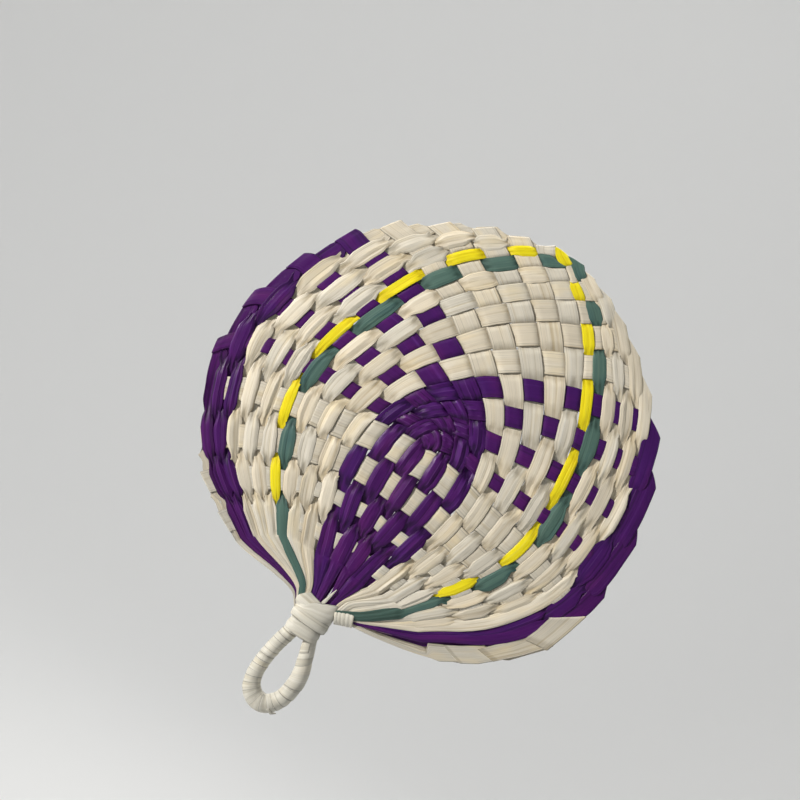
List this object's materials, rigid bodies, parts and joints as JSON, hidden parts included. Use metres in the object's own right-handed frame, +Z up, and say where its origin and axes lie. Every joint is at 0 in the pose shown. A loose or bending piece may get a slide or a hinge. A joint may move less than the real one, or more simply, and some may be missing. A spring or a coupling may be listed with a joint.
{
  "type": "woven hand fan",
  "caption": "Round plaited palm-strip hand fan with natural, purple, teal and yellow strips folded at the rim and a bound neck with a wrapped loop handle.",
  "frame": {"origin": "middle of the loop handle's opening, where the fingers hold it", "axes": "+Z up the fan from the handle to the tip, +X to the right seen from the front, front faces -Y"},
  "size_m": [0.301, 0.0136, 0.3606],
  "materials": {
    "natural_leaf": "undyed palm leaf, satin, lengthwise fibres",
    "purple_leaf": "dyed palm leaf, satin, lengthwise fibres",
    "teal_leaf": "dyed palm leaf, satin",
    "yellow_leaf": "dyed palm leaf, satin",
    "binding_leaf": "pale leaf wrapping, satin",
    "core_fibre": "bundled leaf ends, matt"
  },
  "bodies": {
    "handle": {"left_neck_core": "core_fibre", "right_neck_core": "core_fibre", "neck_wrap_upper": "binding_leaf", "neck_wrap_lower": "binding_leaf", "neck_sash": "binding_leaf", "right_collar": "binding_leaf", "loop_core": "core_fibre", "loop_wrap": "binding_leaf"},
    "blade": {"purple_strip_left_1": "purple_leaf", "purple_strip_left_2": "purple_leaf", "purple_strip_left_3": "purple_leaf", "purple_strip_left_4": "purple_leaf", "natural_strip_left_1": "natural_leaf", "natural_strip_left_2": "natural_leaf", "natural_strip_left_3": "natural_leaf", "natural_strip_left_4": "natural_leaf", "natural_strip_left_5": "natural_leaf", "teal_strip": "teal_leaf", "yellow_strip": "yellow_leaf", "purple_strip_right_1": "purple_leaf", "purple_strip_right_2": "purple_leaf", "purple_strip_right_3": "purple_leaf", "purple_strip_right_4": "purple_leaf", "natural_strip_right_1": "natural_leaf", "natural_strip_right_2": "natural_leaf", "natural_strip_right_3": "natural_leaf", "natural_strip_right_4": "natural_leaf", "natural_strip_right_5": "natural_leaf", "cross_strip_1": "natural_leaf", "cross_strip_2": "natural_leaf", "cross_strip_3": "natural_leaf", "cross_strip_4": "natural_leaf", "left_gather": "natural_leaf", "right_gather": "natural_leaf"}
  },
  "joints": [
    {"name": "neck_flex", "type": "hinge", "parent": "handle", "child": "blade", "pos_m": [0, 0, 0.0507], "axis": [1, 0, 0], "range_deg": [-15, 15], "stiffness_Nm_per_rad": 1.2}
  ]
}
